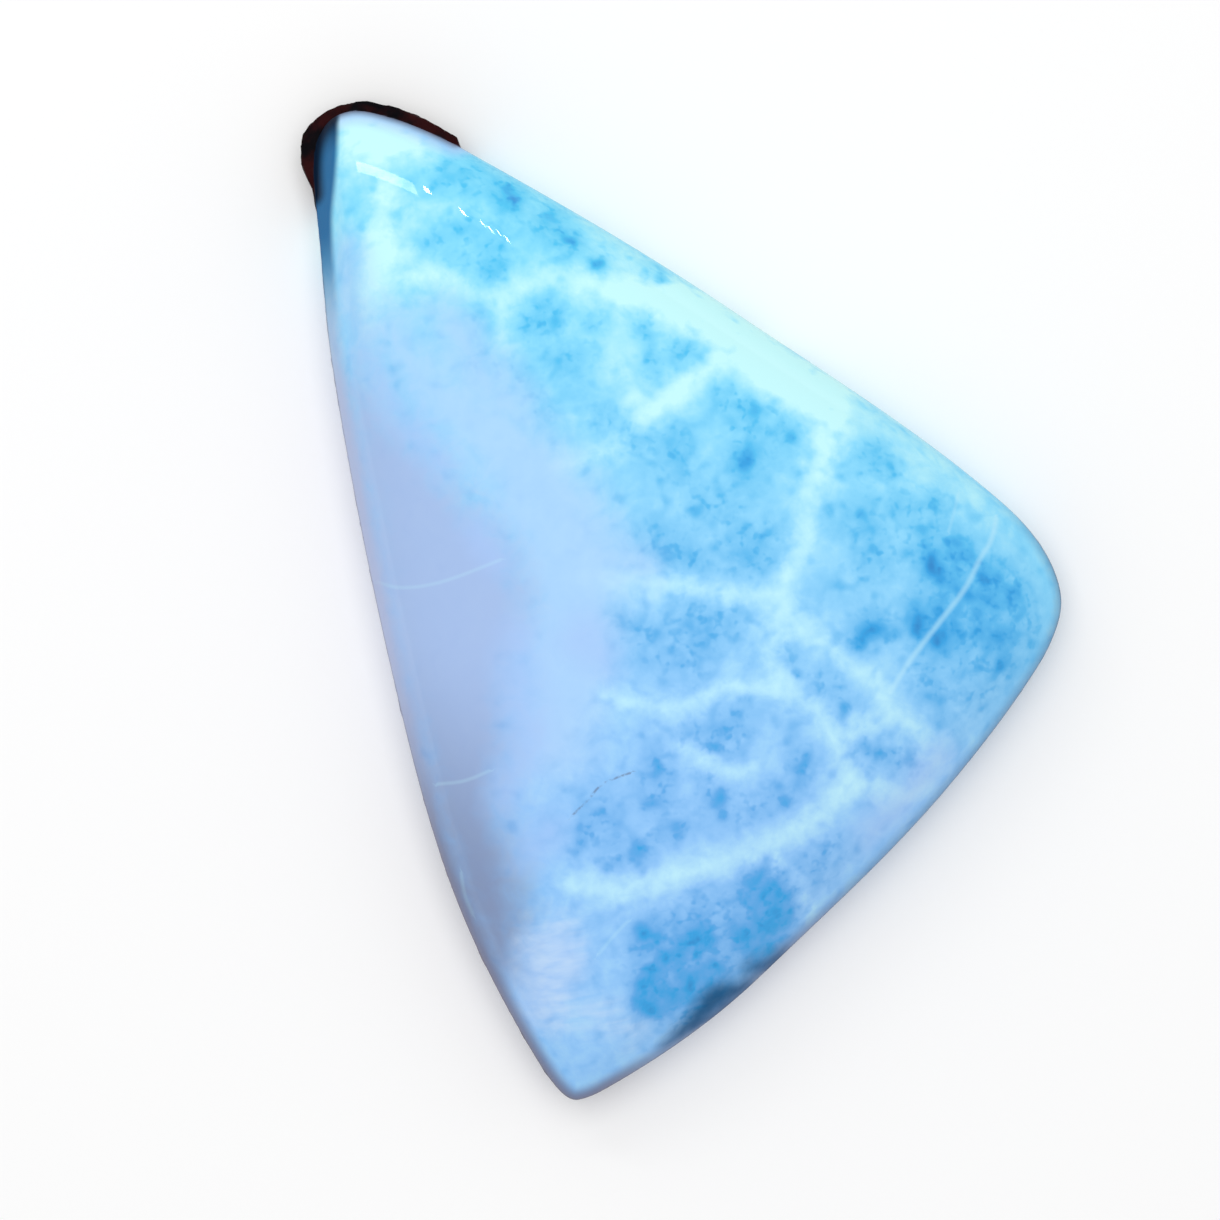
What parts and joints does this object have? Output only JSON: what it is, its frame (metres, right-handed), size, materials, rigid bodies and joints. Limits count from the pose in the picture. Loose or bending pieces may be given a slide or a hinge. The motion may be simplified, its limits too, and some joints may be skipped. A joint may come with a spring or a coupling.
{
  "type": "larimar cabochon",
  "caption": "Polished three-cornered freeform larimar cabochon, sky blue with white veining, flat back and a dark rock rind at its tip, for setting in a pendant.",
  "frame": {"origin": "centre of the stone's bounding box, on the plane of its flat back", "axes": "+Z out of the domed face, away from the flat back; +Y along the stone's length, towards the narrow tip with the rock rind; +X towards the wide corner"},
  "size_m": [0.0302, 0.046, 0.0073],
  "materials": {
    "larimar": "polished"
  },
  "bodies": {
    "root": {"larimar_cabochon": "larimar"}
  },
  "joints": []
}
